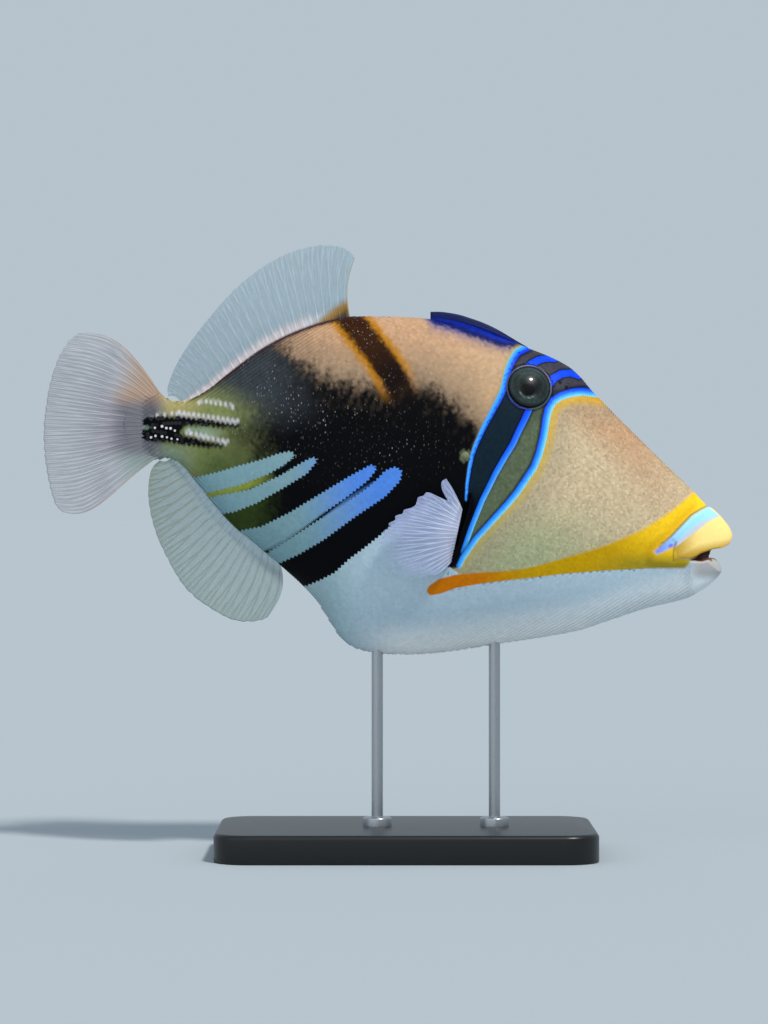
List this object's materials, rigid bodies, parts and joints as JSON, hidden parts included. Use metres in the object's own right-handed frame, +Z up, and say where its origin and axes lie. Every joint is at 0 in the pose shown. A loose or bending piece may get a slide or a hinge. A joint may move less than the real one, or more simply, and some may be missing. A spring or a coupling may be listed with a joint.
{
  "type": "picasso triggerfish display model",
  "caption": "Life-size picasso triggerfish, a deep flat-sided reef fish swimming level with its fins spread, as a still model on a flat base with upright rods.",
  "frame": {"origin": "on the floor under the middle of the fish, half way from its lips to the rear edge of its tail fin", "axes": "+X towards the lips, +Y to the fish's left side, +Z up"},
  "size_m": [0.241, 0.078, 0.2133],
  "materials": {
    "face_skin": "satin, fine grained",
    "flank_skin": "satin, scaled",
    "stalk_skin": "satin, scaled",
    "upper_lip_skin": "smooth, moist",
    "lower_lip_skin": "smooth, moist",
    "eye": "glassy",
    "folded_spines": "satin",
    "fin_membrane": "thin, clouded",
    "tail_membrane": "thin, clouded",
    "pectoral_membrane": "thin, clear",
    "base_lacquer": "satin lacquer",
    "rod_steel": "brushed lengthwise"
  },
  "bodies": {
    "root": {"head": "face_skin", "trunk": "flank_skin", "tail_stalk": "stalk_skin", "upper_lip": "upper_lip_skin", "lower_lip": "lower_lip_skin", "eye_left": "eye", "eye_right": "eye", "first_dorsal_fin": "folded_spines", "dorsal_fin": "fin_membrane", "anal_fin": "fin_membrane", "tail_fin": "tail_membrane", "pectoral_fin_left": "pectoral_membrane", "pectoral_fin_right": "pectoral_membrane", "stand_base": "base_lacquer", "stand_rod_rear": "rod_steel", "stand_rod_front": "rod_steel"}
  },
  "joints": []
}
